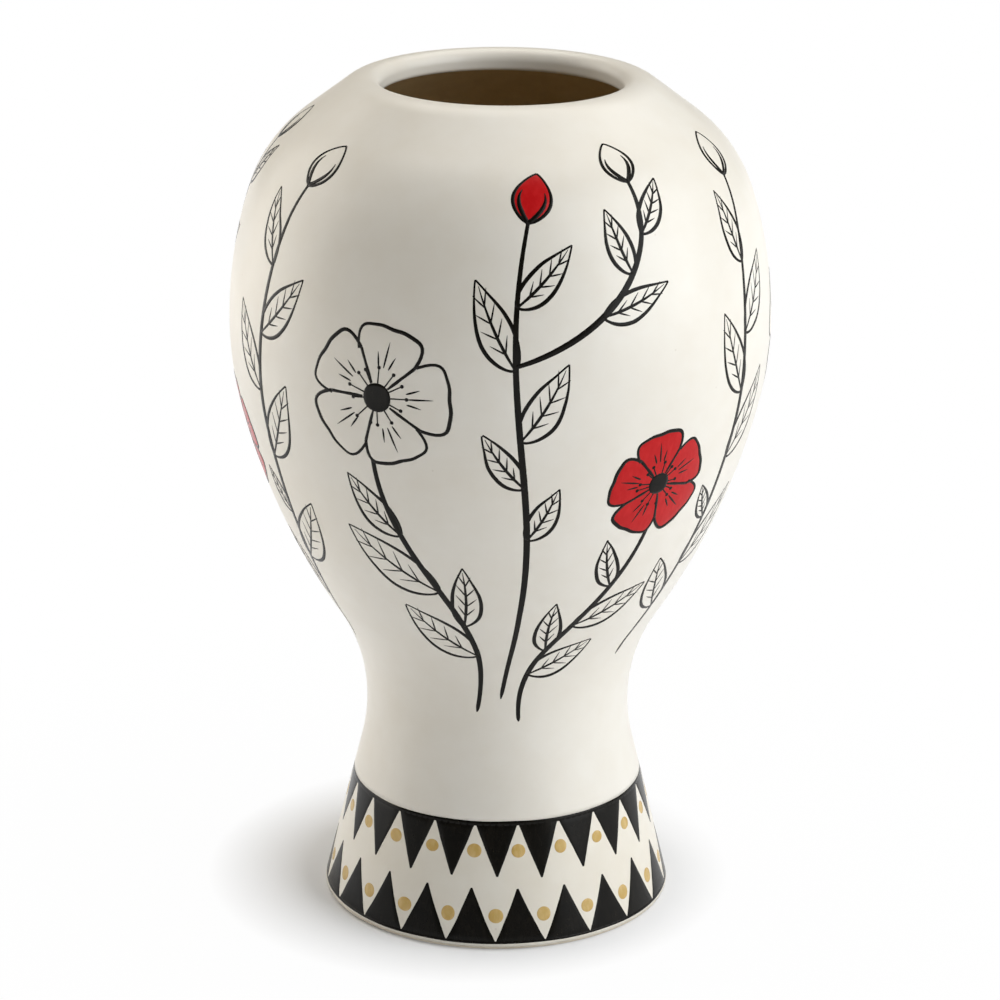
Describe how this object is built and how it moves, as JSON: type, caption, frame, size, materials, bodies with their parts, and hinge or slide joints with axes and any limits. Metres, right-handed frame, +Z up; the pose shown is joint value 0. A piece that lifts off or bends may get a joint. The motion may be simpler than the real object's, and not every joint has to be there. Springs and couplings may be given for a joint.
{
  "type": "flower vase",
  "caption": "Glazed ceramic vase: an egg-shaped bulb open at the crown, a narrow neck and a straight flared foot, made to hold cut flowers or branches.",
  "frame": {"origin": "on the table, under the middle of the foot", "axes": "+Z up along the axis of the vase, out of its mouth; -Y towards the viewer of the picture"},
  "size_m": [0.2, 0.2, 0.318],
  "materials": {
    "clay": "bare fired cream earthenware, matt",
    "slip": "fired slip, matt",
    "ivory_glaze": "warm ivory glaze, satin gloss",
    "painted_band": "brush-painted black on ivory under a clear gloss glaze",
    "liner_glaze": "buff liner glaze, gloss",
    "felt": "pressed wool felt"
  },
  "bodies": {
    "root": {"head_casting": "clay", "foot_casting": "clay", "luting_slip": "slip", "outer_glaze": "ivory_glaze", "foot_band": "painted_band", "inner_glaze": "liner_glaze", "felt_pads": "felt"}
  },
  "joints": []
}
